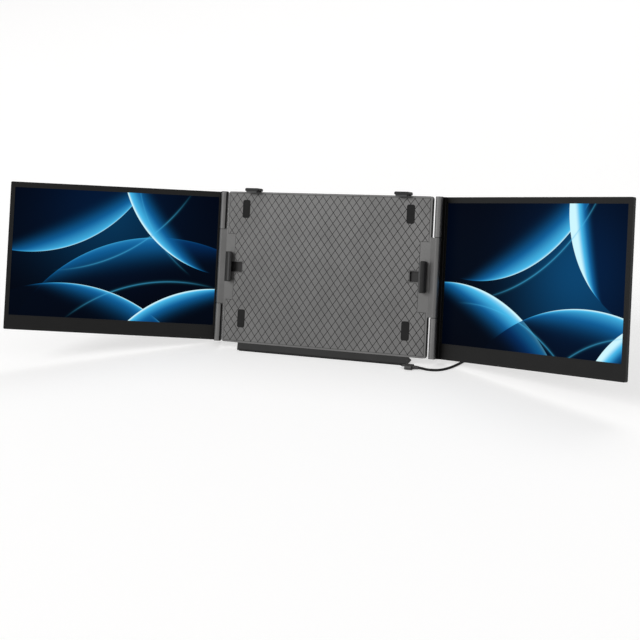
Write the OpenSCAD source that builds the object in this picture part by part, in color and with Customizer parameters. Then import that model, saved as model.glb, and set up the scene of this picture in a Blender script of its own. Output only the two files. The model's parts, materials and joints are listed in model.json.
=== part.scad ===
// Three-part laptop screen extender: a centre frame that stands behind a laptop's lid,
// with one hinged screen on each side. Everything but the feet, the kickstand's floor
// contact and the cable is drawn upright, with the front panel's face at y = 0 and its
// bottom edge at z = 0, and is then leaned back by stance(). X runs to the viewer's right.

/* [Screens] */
// Width of each screen's lit area
lit_w = 301.6; // [290:0.1:310]
// Height of each screen's lit area
lit_h = 188.5; // [182:0.1:194]
// Bezel above the lit area
bezel_top = 8; // [6:0.1:10]
// Bezel below the lit area
bezel_bottom = 21.3; // [20:0.1:25]
// Bezel beside the lit area, on the side away from the hinge
bezel_outer = 6.5; // [6:0.1:10]
// Bezel beside the lit area, on the hinge side
bezel_inner = 4; // [3.6:0.1:6]
// Thickness of the bezel moulding
bezel_t = 1; // [0.8:0.1:1.2]
// Thickness of a whole screen
screen_t = 6.5; // [6.2:0.1:7]
// Thickness of a rear shell's walls
shell_wall = 1.3; // [1:0.1:1.5]
// Corner radius of the screens
screen_corner_r = 2; // [1.5:0.1:5]
// Chamfer round a rear shell
shell_chamfer = 1.2; // [0.6:0.1:2]
// Thickness of the glass display panel
display_t = 1.2; // [1:0.1:1.4]
// Thickness of the light guide behind it
backlight_t = 1.2; // [0.8:0.1:1.4]

/* [Screen keys] */
// Length of a key's cap
key_l = 9; // [7:0.5:11]
// Height of a key's cap
key_h = 4.2; // [3.5:0.1:5]
// Distance between neighbouring keys
key_pitch = 14; // [13.5:0.5:18]
// Distance from a screen's outer edge to its first key
key_edge = 26; // [20:1:40]
// Height of the keys above a screen's bottom edge
key_z = 11; // [9.5:0.1:12]
// How far a cap stands out of the shell
key_proud = 0.3; // [0.2:0.05:0.4]

/* [Centre frame] */
// Width of the centre frame
frame_w = 325; // [323:1:330]
// Thickness of the front panel
front_t = 2; // [1.8:0.1:2.4]
// Thickness of the back panel's floor
back_t = 2; // [1.5:0.1:2.5]
// Thickness of the back panel's rim
rim_t = 2; // [1.6:0.1:2.4]
// Depth of the space for the clip arms
cavity_t = 5; // [4.8:0.1:6]
// Corner radius of the centre frame
frame_corner_r = 4; // [2.5:0.1:6]
// Chamfer round the back panel
frame_chamfer = 2.8; // [0.8:0.1:3]
// Angle by which everything leans back
lean = 20.5; // [19:0.1:22]

/* [Laptop lid] */
// Distance of the lid's sides from the frame's sides
lid_margin = 10.5; // [10:0.1:13.5]
// How far the lid's top edge lies below the frame's
lid_drop = 0.8; // [0:0.1:0.8]
// Thickness of that lid
lid_t = 5; // [4.5:0.1:5.5]
// Thickness of the silicone pads behind it
pad_t = 0.5; // [0.4:0.1:0.8]
// Width of a pad
pad_w = 12; // [8:0.5:16]
// Height of a pad
pad_h = 26; // [16:1:34]
// Distance of a pad's middle from the frame's side
pad_inset = 31.5; // [22:0.5:60]
// Distance of the lower pads from the frame's bottom edge
pad_low = 22; // [8:1:30]
// Distance of the upper pads from the frame's top edge
pad_high = 11.8; // [8:0.1:24]
// Thickness of the clips' rubber liners
liner_t = 0.6; // [0.5:0.1:0.8]

/* [Clips] */
// Thickness of a clip's lip
lip_t = 2.6; // [2.2:0.1:3]
// How far a side clip's lip reaches over the lid
side_lip_reach = 1.5; // [1.2:0.1:3]
// Thickness of a side clip's outer wall
side_wall_t = 6.6; // [6:0.1:7.4]
// Height of a side clip
side_clip_h = 43; // [36:1:46]
// Width of a top clip
top_clip_w = 21; // [19:0.5:34]
// Thickness of a top clip's bar
top_bar_t = 4.6; // [4:0.1:5.5]
// Distance of a top clip's middle from the frame's side
top_clip_inset = 43.3; // [40:0.1:60]
// Thickness of the rubber sleeve round a clip's lip
sleeve_t = 0.8; // [0.6:0.1:1]
// Thickness of the sliding arms
arm_t = 3; // [2.5:0.1:3.4]
// Height of a side arm
side_arm_h = 20; // [18:0.5:22]
// Length of a side arm
side_arm_l = 98; // [80:1:110]
// Width of a top arm
top_arm_w = 17; // [14:0.5:19]
// Length of a top arm
top_arm_l = 82; // [60:1:95]
// Length of the guides that a side arm slides between
side_guide_l = 80; // [50:1:90]
// Length of the guides that a top arm slides between
top_guide_l = 64; // [40:1:70]
// Height of a side clip's stem, through its slot
stem_h = 14; // [10:0.5:16]
// Width of a side clip's stem
stem_w = 4; // [3:0.1:4.5]
// How far a side clip slides in
side_in = 20; // [10:1:24]
// How far a side clip slides out
side_out = 1; // [0.5:0.1:1.2]
// How far a top clip slides up
top_up = 30; // [20:1:35]
// How far a top clip slides down
top_down = 0.4; // [0.2:0.1:0.5]

/* [Hinges] */
// Radius of the hinge knuckles and barrels
hinge_r = 4.8; // [4.3:0.1:4.8]
// Radius of the hinge pins
pin_r = 2; // [1.6:0.1:2.4]
// Distance of the hinge axes outside the frame's sides
hinge_out = 8.8; // [8.4:0.1:10]
// Distance of the hinge axes behind the front panel's face
hinge_y = 2.4; // [2:0.1:2.6]
// Distance of the right screen's hinge side outside its axis
right_edge_out = 0.3; // [0:0.1:1]
// Distance of the left screen's hinge side outside its axis
left_edge_out = 5.4; // [4.5:0.1:6.5]
// Angle by which the right screen is turned to the viewer
right_open = 21.6; // [0:0.1:60]
// Angle by which the left screen is turned to the viewer
left_open = 28.6; // [0:0.1:60]
// Share of the height that the fixed knuckle takes
knuckle_share = 0.5; // [0.45:0.01:0.55]
// Share of the height that the hinge leaf takes
leaf_share = 0.43; // [0.4:0.01:0.44]
// Thickness of the hinge leaf on the front panel
leaf_t = 1.2; // [1:0.1:1.4]
// Width of the hinge leaf
leaf_w = 14.5; // [13:0.5:18]
// Length of the tongues that hold a hinge block in the frame
tongue_l = 12; // [8:0.5:13]
// Height of those tongues
tongue_h = 24; // [16:1:30]
// How far a screen rail's lip covers the bezel
rail_lip = 2.2; // [1.6:0.1:2.6]
// Thickness of that lip
rail_lip_t = 2.5; // [2:0.1:3]

/* [Kickstand] */
// Width of the kickstand
kick_w = 104; // [80:1:110]
// Distance from the kickstand's axis to its foot
kick_l = 170; // [150:1:180]
// Angle of the open kickstand to the upright
kick_spread = 11.8; // [8:0.1:16]
// Thickness of the kickstand plate
kick_t = 2.5; // [2:0.1:3]
// Radius of the kickstand's barrel
kick_barrel_r = 3.2; // [3:0.1:3.6]
// Radius of its pins
kick_pin_r = 1.5; // [1.2:0.1:1.6]
// Radius of its rubber foot
kick_foot_r = 3; // [2.6:0.1:3.2]

/* [Base foot] */
// Distance of the foot's ends from the frame's sides
foot_inset = 27.5; // [17.5:0.5:62.5]
// Depth of that foot on the desk
foot_d = 17; // [14:0.5:20]
// Thickness of its rubber sole
sole_t = 1.2; // [1:0.1:2]

/* [Cable] */
// Diameter of the cable
cord_d = 3.4; // [3.2:0.1:3.6]
// Length of a plug's moulding
plug_l = 10; // [9:0.5:20]
// Width of a plug's moulding
plug_w = 11.4; // [10.5:0.1:12.5]
// Thickness of a plug's moulding
plug_t = 6.2; // [5.6:0.1:6.6]
// Length of a plug's strain relief
relief_l = 9; // [7:0.5:12]
// Radius of the coil at the middle of its turns
coil_r = 18.9; // [17:0.1:20.4]
// Width of the hub cover
hub_w = 44; // [36:1:46]
// Height of the hub cover
hub_h = 28; // [24:1:32]
// Depth of the hub cover
hub_t = 8; // [7:0.5:10]
// Distance of the hub from the frame's side
hub_inset = 44.5; // [42:0.5:60]
// Wall of the hub cover
hub_wall = 1.6; // [1.2:0.1:2]
// Height of the hub's middle above the frame's bottom edge
hub_z = 70; // [66:1:74]

/* [Hidden] */
$fn = 48;

GUNMETAL = [0.42, 0.42, 0.41];
DARK = [0.12, 0.12, 0.12];
BLACK = [0.06, 0.06, 0.06];
STEEL = [0.75, 0.75, 0.76];
RUBBER = [0.09, 0.09, 0.09];
BOARD = [0.05, 0.3, 0.15];

// Clearances
run_gap = 0.05;      // round a pin, in its bore
slide_gap = 0.3;     // round a piece that slides
seat_gap = 0.1;      // between faces that nearly touch
fold_gap = 0.9;      // between a folded screen and the clips' lips
stack_gap = 0.8;     // between the two folded screens
knuckle_gap = 0.8;   // between a screen's rail and the fixed knuckle
cord_gap = 0.85;     // between the cable and the right screen's lowest edge
press_gap = 0.2;     // round a key, in the rear shell
washer_t = 0.6;

// Centre frame
half_w = frame_w / 2;
frame_h = lit_h + bezel_top + bezel_bottom;
frame_t = front_t + cavity_t + back_t;
floor_y = front_t + cavity_t;
mid_z = frame_h / 2;
arm_y = front_t + (cavity_t - arm_t) / 2;

// Clips: the lid lies between the pads and the liners
lip_back = -(pad_t + lid_t + liner_t);
lip_front = lip_back - lip_t;
lid_x = half_w - lid_margin;
side_grip_x = lid_x + liner_t;
side_outer_x = side_grip_x + side_wall_t;
side_lip_x = lid_x - side_lip_reach;
side_face_x = side_grip_x + liner_t;
stem_x = side_outer_x - stem_w - 1.3;
side_guide_x = half_w - 12.5 - side_guide_l;
sleeve_front = lip_front + 0.1;
sleeve_soft = 0.5;
jaw_r = 4;
arm_slot_count = 3;
arm_slot_pitch = 18;
arm_slot_l = 12;
arm_slot_h = 8;
top_clip_x = half_w - top_clip_inset;
top_grip_z = frame_h - lid_drop + 2 * liner_t + 0.2;
top_lip_z = top_grip_z - 2.4;
top_pad_w = top_clip_w - 4;
top_bar_back = frame_t - frame_chamfer;
peg_r = 2;
peg_z = top_grip_z - top_arm_l + top_up + 12;

// Hinges. The folded right screen lies before the clips, and the left one before the right.
hinge_x = half_w + hinge_out;
right_face_back = hinge_y - lip_front + fold_gap;
left_face_back = right_face_back + screen_t + stack_gap;
knuckle_lo = mid_z - knuckle_share * frame_h / 2;
knuckle_hi = mid_z + knuckle_share * frame_h / 2;
leaf_lo = mid_z - leaf_share * frame_h / 2;
leaf_hi = mid_z + leaf_share * frame_h / 2;
leaf_x = half_w - leaf_w;
tongue_x = half_w - tongue_l;
tongue_z = [leaf_lo + 3, leaf_hi - 3 - tongue_h];
pin_inset = 2.5;
rail_y = hinge_r + knuckle_gap;
rail_x = 0.4 - hinge_r;

// Screens
screen_w = bezel_inner + lit_w + bezel_outer;
shell_depth = screen_t - bezel_t;
board_t = 1;
board_l = 118;
board_z = [3, bezel_bottom - 3];
board_inset = 8;
switch_w = 3.6;
chip_w = 9;
chip_t = 1.2;
chip_x = [67, 93];
slit_count = 10;
slit_pitch = 12;
slit_l = 7;
slit_drop = 16;
glass_border = 1.6;
guide_border = 1.2;
key_flange = 1;
key_travel = 0.5;
switch_t = shell_depth - shell_wall - seat_gap - key_flange - board_t - key_travel - slide_gap;

// How the object stands: the right screen's lower edge, laid flat, just clears the cable
stand_y = -frame_t / 2 * cos(lean);
stand_z = (hinge_y + right_face_back + screen_t) * sin(lean) + cord_d + cord_gap;
kick_axis_y = frame_t + 0.4 + kick_barrel_r;
kick_height = kick_l * cos(kick_spread) + kick_foot_r;
kick_axis_z = (kick_height + kick_axis_y * sin(lean) - stand_z) / cos(lean);
kick_open = lean + kick_spread;
lug_t = 6.5;
lug_flare = 5;
kick_pin_l = 16;
kick_round = 8;
kick_foot_wall = 1.2;
kick_web_t = 2;
kick_rib_x = 34;
kick_rib_w = 4;
kick_rib_end = 30;
finger_w = 40;
finger_h = 14;
vent_count = 12;
vent_pitch = 11.4;
vent_l = 6;
vent_h = 1.8;
vent_rise = 14.8;
kick_barrel_l = kick_w - 2 * lug_t - 2;

// Hub and its port
hub_right = half_w - hub_inset;
port_y = frame_t + 0.5 + plug_t / 2;
port_l = 7.4;
port_w = 9;
port_t = 3.3;
port_wall = 0.35;
tip_w = port_w - 2 * port_wall - 0.14;
tip_t = port_t - 2 * port_wall - 0.14;
tip_l = 6.4;

// Cable: points chosen by hand, from the hub's plug to the coil, and from the coil to the free plug
hub_exit = [hub_right + plug_l + relief_l + 0.3, on_desk_y(port_y, hub_z), on_desk_z(port_y, hub_z)];
hub_route = [
  hub_exit, [148, 32.7, 72.4], [154.5, 34.8, 70.6], [160.5, 38.6, 67], [166, 42.8, 61.4], [171.5, 46.7, 54.4],
  [177, 50.5, 46.4], [182.5, 54.4, 38], [188, 58.6, 29.6], [193.5, 63.2, 21.6], [199, 68.6, 14.6],
  [205, 74.8, 8.9], [211.5, 80.8, 4.8], [219, 86, 2.4], [228, 88.7, 1.7]
];
desk_route = [
  [228, 43.2, 5.1], [221, 41.5, 4.4], [215.2, 37.8, 3.3], [211.2, 31.8, 2.4], [208.6, 24.2, 1.9],
  [206.3, 16, 1.7], [203.6, 8, 1.7], [200.2, 0.6, 1.7], [196, -6.2, 1.7], [190.6, -11.8, 1.7],
  [184, -15.2, 1.7], [176.6, -16.4, 1.7], [169.4, -16.4, 1.8], [163, -16.1, 2.5], [157.5, -16, 3.1]
];
coil_centre = [228, 66];
coil_turn_rows = 2.25;
coil_half = coil_turn_rows * cord_d / 2;
cord_sides = 8;

// A point of the upright frame, as it stands on the desk
function on_desk_y(y, z) = stand_y + y * cos(lean) + z * sin(lean);
function on_desk_z(y, z) = stand_z - y * sin(lean) + z * cos(lean);

// Where a line from p touches a circle: side is 1 or -1
function touch(centre, r, p, side) =
  let (d = p - centre, a = acos(r / norm(d)), b = atan2(d[1], d[0]))
  centre + r * [cos(b + side * a), sin(b + side * a)];

// Catmull-Rom points between a route's own points
function route_point(p, i, t) =
  let (a = p[max(i - 1, 0)], b = p[i], c = p[i + 1], d = p[min(i + 2, len(p) - 1)])
  0.5 * (2 * b + (c - a) * t + (2 * a - 5 * b + 4 * c - d) * t * t + (3 * b - a - 3 * c + d) * t * t * t);
function smooth_route(p, steps) = concat(
  [for (i = [0:len(p) - 2]) for (k = [0:steps - 1]) route_point(p, i, k / steps)],
  [p[len(p) - 1]]
);

module stance() {
  translate([0, stand_y, stand_z]) rotate([-lean, 0, 0]) children();
}

// Pieces that come in a left and a right are drawn for the right
module left_side() {
  mirror([1, 0, 0]) children();
}

module right_screen_place() {
  stance() translate([hinge_x, hinge_y, 0]) rotate([0, 0, -right_open]) children();
}

module left_screen_place() {
  stance() left_side() translate([hinge_x, hinge_y, 0]) rotate([0, 0, -left_open]) children();
}

module kickstand_place() {
  stance() translate([0, kick_axis_y, kick_axis_z]) rotate([kick_open, 0, 0]) children();
}

// A plate in the X-Z plane with rounded corners, from y to y + t
module plate(x, z, w, h, y, t, r) {
  translate([x, y + t, z]) rotate([90, 0, 0]) linear_extrude(t) rounded(w, h, r);
}

module rounded(w, h, r) {
  translate([r, 0]) square([w - 2 * r, h]);
  translate([0, r]) square([w, h - 2 * r]);
  for (x = [r, w - r]) for (y = [r, h - r]) translate([x, y]) circle(r);
}

// A plate with round ends about its middle
module pill(x, z, y, t, l, h) {
  plate(x - l / 2, z - h / 2, l, h, y, t, h / 2 - 0.01);
}

module block(low, high) {
  translate(low) cube(high - low);
}

// ---------------------------------------------------------------- centre frame

module clip_slot(depth) {
  low_x = stem_x - side_in - slide_gap;
  high_x = stem_x + stem_w + side_out + slide_gap;
  block([low_x, -1, mid_z - stem_h / 2 - slide_gap], [high_x, depth, mid_z + stem_h / 2 + slide_gap]);
}

module leaf_recess() {
  block([leaf_x - seat_gap, -1, leaf_lo - seat_gap], [half_w + 1, leaf_t, leaf_hi + seat_gap]);
}

module front_panel() {
  color(GUNMETAL) stance() difference() {
    plate(-half_w, 0, frame_w, frame_h, 0, front_t, frame_corner_r);
    leaf_recess();
    left_side() leaf_recess();
    clip_slot(front_t + 1);
    left_side() clip_slot(front_t + 1);
  }
}

module back_panel_body() {
  inset = frame_chamfer;
  hull() {
    plate(-half_w, 0, frame_w, frame_h, front_t, frame_t - front_t - inset, frame_corner_r, $fn = 32);
    plate(-half_w + inset, inset, frame_w - 2 * inset, frame_h - 2 * inset, frame_t - 1, 1,
          frame_corner_r - inset, $fn = 32);
  }
}

module tongue_openings() {
  for (z = tongue_z) {
    block([tongue_x, front_t - 1, z - slide_gap], [half_w + 1, floor_y, z + tongue_h + slide_gap]);
  }
}

module top_arm_opening() {
  block([top_clip_x - top_arm_w / 2 - slide_gap, front_t - 1, frame_h - rim_t - 1],
        [top_clip_x + top_arm_w / 2 + slide_gap, arm_y + arm_t + slide_gap, frame_h + 1]);
}

module side_arm_guides() {
  for (z = [mid_z - side_arm_h / 2 - slide_gap - rim_t, mid_z + side_arm_h / 2 + slide_gap]) {
    block([side_guide_x, front_t, z], [side_guide_x + side_guide_l, floor_y + 0.5, z + rim_t]);
  }
}

module top_arm_guides() {
  high_z = frame_h - rim_t - 2;
  for (x = [top_clip_x - top_arm_w / 2 - slide_gap - rim_t, top_clip_x + top_arm_w / 2 + slide_gap]) {
    block([x, front_t, high_z - top_guide_l], [x + rim_t, floor_y + 0.5, high_z]);
  }
}

// A row of slots above the kickstand's lugs
module rear_vents() {
  for (i = [0:vent_count - 1]) {
    pill((i - (vent_count - 1) / 2) * vent_pitch, kick_axis_z + vent_rise, floor_y - 1, back_t + 2,
         vent_l, vent_h);
  }
}

// The pegs that stop the top arms
module top_arm_peg() {
  translate([top_clip_x, floor_y + 0.5, peg_z]) rotate([90, 0, 0])
    cylinder(r = peg_r, h = floor_y + 0.5 - front_t - slide_gap);
}

module back_panel() {
  color(DARK) stance() difference() {
    union() {
      difference() {
        back_panel_body();
        block([-half_w + rim_t, front_t - 1, rim_t], [half_w - rim_t, floor_y, frame_h - rim_t]);
      }
      side_arm_guides();
      left_side() side_arm_guides();
      top_arm_guides();
      left_side() top_arm_guides();
      top_arm_peg();
      left_side() top_arm_peg();
    }
    tongue_openings();
    left_side() tongue_openings();
    top_arm_opening();
    left_side() top_arm_opening();
    rear_vents();
  }
}

module lid_pads() {
  color(RUBBER) stance() for (side = [-1, 1]) for (z = [pad_low, frame_h - pad_high - pad_h]) {
    plate(side * (half_w - pad_inset) - pad_w / 2, z, pad_w, pad_h, -pad_t, pad_t, 3);
  }
}

// The foot's top follows the leaning frame's underside and its sole is level
module base_foot() {
  foot_l = frame_w - 2 * foot_inset;
  front_top = [on_desk_y(0.6, 0), on_desk_z(0.6, 0)];
  rear_top = [on_desk_y(frame_t - frame_chamfer, 0), on_desk_z(frame_t - frame_chamfer, 0)];
  color(DARK) translate([-foot_l / 2, 0, 0]) rotate([90, 0, 90]) linear_extrude(foot_l) polygon([
    [-foot_d / 2 + 1, sole_t], [foot_d / 2, sole_t], [foot_d / 2, sole_t + 1.6], rear_top,
    front_top, [-foot_d / 2 + 1, sole_t + 2.4]
  ]);
}

module foot_sole() {
  foot_l = frame_w - 2 * foot_inset;
  color(RUBBER) translate([-foot_l / 2 + 1, -foot_d / 2 + 1.5, 0]) linear_extrude(sole_t)
    rounded(foot_l - 2, foot_d - 2, 3);
}

// ---------------------------------------------------------------- hinges

module hinge_bore(r) {
  translate([0, 0, -1]) cylinder(r = r, h = frame_h + 2);
}

// The fixed knuckle runs out of the frame's side, flush with its face, with a leaf let into
// the front panel and two tongues in the frame's side wall
module hinge_block() {
  centre = [hinge_x, hinge_y];
  front = [half_w, 0];
  rear = [half_w, frame_t - frame_chamfer];
  low = knuckle_lo + washer_t + 2 * seat_gap;
  high = knuckle_hi - washer_t - 2 * seat_gap;
  difference() {
    union() {
      translate([0, 0, low]) linear_extrude(high - low) {
        translate(centre) circle(hinge_r);
        polygon([front, touch(centre, hinge_r, front, 1), centre, touch(centre, hinge_r, rear, -1), rear]);
      }
      block([leaf_x, 0, leaf_lo], [half_w + 0.5, leaf_t, leaf_hi]);
      for (z = tongue_z) {
        block([tongue_x + slide_gap, front_t + slide_gap, z],
              [half_w + 0.5, rear[1] - slide_gap, z + tongue_h]);
      }
    }
    translate([hinge_x, hinge_y, 0]) hinge_bore(pin_r);
    clip_slot(front_t + 1);
  }
}

module hinge_pin() {
  translate([hinge_x, hinge_y, pin_inset]) cylinder(r = pin_r, h = frame_h - 2 * pin_inset);
}

module washer_pair() {
  for (z = [knuckle_lo + seat_gap, knuckle_hi - seat_gap - washer_t]) {
    translate([hinge_x, hinge_y, z]) difference() {
      cylinder(r = hinge_r - 0.4, h = washer_t);
      translate([0, 0, -1]) cylinder(r = pin_r + run_gap, h = washer_t + 2);
    }
  }
}

module left_hinge_block() {
  color(GUNMETAL) stance() left_side() hinge_block();
}

module right_hinge_block() {
  color(GUNMETAL) stance() hinge_block();
}

module left_hinge_pin() {
  color(STEEL) stance() left_side() hinge_pin();
}

module right_hinge_pin() {
  color(STEEL) stance() hinge_pin();
}

module hinge_washers() {
  color(STEEL) stance() {
    washer_pair();
    left_side() washer_pair();
  }
}

// The two barrels of a screen, each with a neck that seats on the screen's rail
module hinge_barrels(edge_out) {
  neck = [rail_x + 0.5, min(edge_out - 0.3, -rail_x - 0.5)];
  neck_y = [for (x = neck) sqrt(hinge_r * hinge_r - x * x)];
  bore_z = pin_inset - seat_gap;
  difference() {
    for (z = [[0, knuckle_lo], [knuckle_hi, frame_h]]) {
      translate([0, 0, z[0]]) linear_extrude(z[1] - z[0]) {
        circle(hinge_r);
        polygon([[neck[0], neck_y[0]], [neck[0], rail_y], [neck[1], rail_y], [neck[1], neck_y[1]], [0, 0]]);
      }
    }
    translate([0, 0, bore_z]) cylinder(r = pin_r + run_gap, h = frame_h - 2 * bore_z);
  }
}

// The arm behind a screen's barrels, along the whole height: its lip covers the bezel's edge
module hinge_rail(face_back, edge_out) {
  lip_x = edge_out + rail_lip;
  lip_y = face_back - rail_lip_t;
  back_y = face_back + screen_t - shell_chamfer;
  soft = 0.8;
  back_soft = 2.5;
  linear_extrude(frame_h) polygon([
    [rail_x, rail_y], [edge_out, rail_y], [edge_out, lip_y], [lip_x - soft, lip_y], [lip_x, lip_y + soft],
    [lip_x, face_back], [edge_out, face_back], [edge_out, back_y], [rail_x + back_soft, back_y],
    [rail_x, back_y - back_soft]
  ]);
}

// ---------------------------------------------------------------- screens

module bezel(face_back, edge_out) {
  difference() {
    plate(edge_out, 0, screen_w, frame_h, face_back, bezel_t, screen_corner_r);
    block([edge_out + bezel_inner, face_back - 1, bezel_bottom],
          [edge_out + bezel_inner + lit_w, face_back + bezel_t + 1, bezel_bottom + lit_h]);
  }
}

module layer(face_back, edge_out, y, t, border) {
  low_x = edge_out + bezel_inner - border;
  block([low_x, face_back + y, bezel_bottom - border],
        [low_x + lit_w + 2 * border, face_back + y + t, bezel_bottom + lit_h + border]);
}

function key_x(edge_out, i) = edge_out + screen_w - key_edge - i * key_pitch;

module rear_shell(face_back, edge_out) {
  front_y = face_back + bezel_t;
  back_y = face_back + screen_t;
  c = shell_chamfer;
  wall = shell_wall;
  difference() {
    hull() {
      plate(edge_out, 0, screen_w, frame_h, front_y, shell_depth - c, screen_corner_r, $fn = 32);
      plate(edge_out + c, c, screen_w - 2 * c, frame_h - 2 * c, back_y - 0.5, 0.5,
            screen_corner_r - c, $fn = 32);
    }
    plate(edge_out + wall, wall, screen_w - 2 * wall, frame_h - 2 * wall, front_y - 1, shell_depth - wall + 1,
          screen_corner_r - wall);
    for (i = [0:2]) {
      pill(key_x(edge_out, i), key_z, back_y - wall - 1, wall + 2,
           key_l + 2 * press_gap, key_h + 2 * press_gap);
    }
    for (i = [0:slit_count - 1]) {
      pill(edge_out + screen_w / 2 + (i - (slit_count - 1) / 2) * slit_pitch, frame_h - slit_drop,
           back_y - wall - 1, wall + 2, slit_l, vent_h);
    }
  }
}

module driver_board(face_back, edge_out) {
  front_y = face_back + bezel_t;
  back_y = front_y + board_t;
  high_x = edge_out + screen_w - board_inset;
  half = switch_w / 2;
  block([high_x - board_l, front_y, board_z[0]], [high_x, back_y, board_z[1]]);
  for (i = [0:2]) {
    translate([key_x(edge_out, i), back_y, key_z]) block([-half, -0.2, -half], [half, switch_t, half]);
  }
  for (x = chip_x) {
    translate([high_x - x, back_y, key_z - chip_w / 2]) block([0, -0.2, 0], [chip_w, chip_t, chip_w]);
  }
}

module key(face_back, edge_out, i) {
  inner_y = face_back + screen_t - shell_wall;
  x = key_x(edge_out, i);
  pill(x, key_z, inner_y - 0.4, shell_wall + 0.4 + key_proud, key_l, key_h);
  pill(x, key_z, inner_y - seat_gap - key_flange, key_flange, key_l + 2, key_h + 1.6);
}

module left_rear_shell() {
  color(DARK) left_screen_place() rear_shell(left_face_back, left_edge_out);
}

module left_bezel() {
  color(BLACK) left_screen_place() bezel(left_face_back, left_edge_out);
}

module left_display() {
  color("midnightblue") left_screen_place()
    layer(left_face_back, left_edge_out, bezel_t, display_t, glass_border);
}

module left_backlight() {
  color("white") left_screen_place()
    layer(left_face_back, left_edge_out, bezel_t + display_t, backlight_t, guide_border);
}

module left_driver_board() {
  color(BOARD) left_screen_place() driver_board(left_face_back, left_edge_out);
}

module left_hinge_rail() {
  color(DARK) left_screen_place() hinge_rail(left_face_back, left_edge_out);
}

module left_hinge_barrels() {
  color(GUNMETAL) left_screen_place() hinge_barrels(left_edge_out);
}

module left_power_key() {
  color(BLACK) left_screen_place() key(left_face_back, left_edge_out, 0);
}

module left_up_key() {
  color(BLACK) left_screen_place() key(left_face_back, left_edge_out, 1);
}

module left_down_key() {
  color(BLACK) left_screen_place() key(left_face_back, left_edge_out, 2);
}

module right_rear_shell() {
  color(DARK) right_screen_place() rear_shell(right_face_back, right_edge_out);
}

module right_bezel() {
  color(BLACK) right_screen_place() bezel(right_face_back, right_edge_out);
}

module right_display() {
  color("midnightblue") right_screen_place()
    layer(right_face_back, right_edge_out, bezel_t, display_t, glass_border);
}

module right_backlight() {
  color("white") right_screen_place()
    layer(right_face_back, right_edge_out, bezel_t + display_t, backlight_t, guide_border);
}

module right_driver_board() {
  color(BOARD) right_screen_place() driver_board(right_face_back, right_edge_out);
}

module right_hinge_rail() {
  color(DARK) right_screen_place() hinge_rail(right_face_back, right_edge_out);
}

module right_hinge_barrels() {
  color(GUNMETAL) right_screen_place() hinge_barrels(right_edge_out);
}

module right_power_key() {
  color(BLACK) right_screen_place() key(right_face_back, right_edge_out, 0);
}

module right_up_key() {
  color(BLACK) right_screen_place() key(right_face_back, right_edge_out, 1);
}

module right_down_key() {
  color(BLACK) right_screen_place() key(right_face_back, right_edge_out, 2);
}

// ---------------------------------------------------------------- clips

module side_arm() {
  high_x = stem_x + stem_w;
  difference() {
    block([high_x - side_arm_l, arm_y, mid_z - side_arm_h / 2],
          [high_x, arm_y + arm_t, mid_z + side_arm_h / 2]);
    for (i = [1:arm_slot_count]) {
      pill(high_x - side_arm_l + (i + 1 / 3) * arm_slot_pitch, mid_z, arm_y - 1, arm_t + 2,
           arm_slot_l, arm_slot_h);
    }
  }
}

// A side clip's section: the wall beside the lid, with a round shoulder
module hook_outline() {
  corner = [side_outer_x - jaw_r, lip_front + jaw_r];
  difference() {
    union() {
      translate([side_face_x, lip_front]) square([corner[0] - side_face_x, lip_t]);
      translate([side_grip_x, lip_back]) square([corner[0] - side_grip_x, -slide_gap - lip_back]);
      translate([side_grip_x, corner[1]]) square([side_wall_t, -slide_gap - corner[1]]);
      translate(corner) circle(jaw_r);
    }
    translate([side_grip_x - 2 * jaw_r, lip_front - 1]) square([2 * jaw_r, -lip_front + 1]);
    translate([side_face_x - 2 * jaw_r, lip_front - 1]) square([2 * jaw_r, lip_t + 1]);
  }
}

// The lip's core goes into the rubber sleeve
module side_jaw() {
  low_z = mid_z - side_clip_h / 2;
  core = [side_lip_x + sleeve_t, sleeve_front + sleeve_t, low_z + 1];
  round_w = side_outer_x - side_lip_x + 3;
  intersection() {
    translate([0, 0, low_z]) linear_extrude(side_clip_h) hook_outline();
    plate(side_outer_x - round_w, low_z, round_w, side_clip_h, lip_front - 1, -lip_front + 2, 3);
  }
  block(core, [side_face_x + 0.5, lip_back, low_z + side_clip_h - 1]);
  block([stem_x, -slide_gap - 0.5, mid_z - stem_h / 2], [stem_x + stem_w, arm_y, mid_z + stem_h / 2]);
}

// The sleeve wraps the lip and lines the wall beside the lid
module side_liner() {
  front = sleeve_front;
  core = [side_lip_x + sleeve_t, front + sleeve_t];
  translate([0, 0, mid_z - side_clip_h / 2 + 1]) linear_extrude(side_clip_h - 2) polygon([
    [side_face_x, front], [side_face_x, core[1]], core, [core[0], lip_back], [side_grip_x, lip_back],
    [side_grip_x, -1], [lid_x, -1], [lid_x, lip_back + liner_t], [side_lip_x, lip_back + liner_t],
    [side_lip_x, front + sleeve_soft], [side_lip_x + sleeve_soft, front]
  ]);
}

// A peg of the back panel runs in the arm's slot and stops it
module top_arm() {
  low = [top_clip_x - top_arm_w / 2, arm_y, top_grip_z - top_arm_l];
  run = 2 * (peg_r + slide_gap);
  difference() {
    block(low, low + [top_arm_w, arm_t, top_arm_l]);
    plate(top_clip_x - run / 2, peg_z - top_up - run / 2, run, top_up + top_down + run, arm_y - 1, arm_t + 2,
          run / 2 - 0.01);
  }
}

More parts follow.
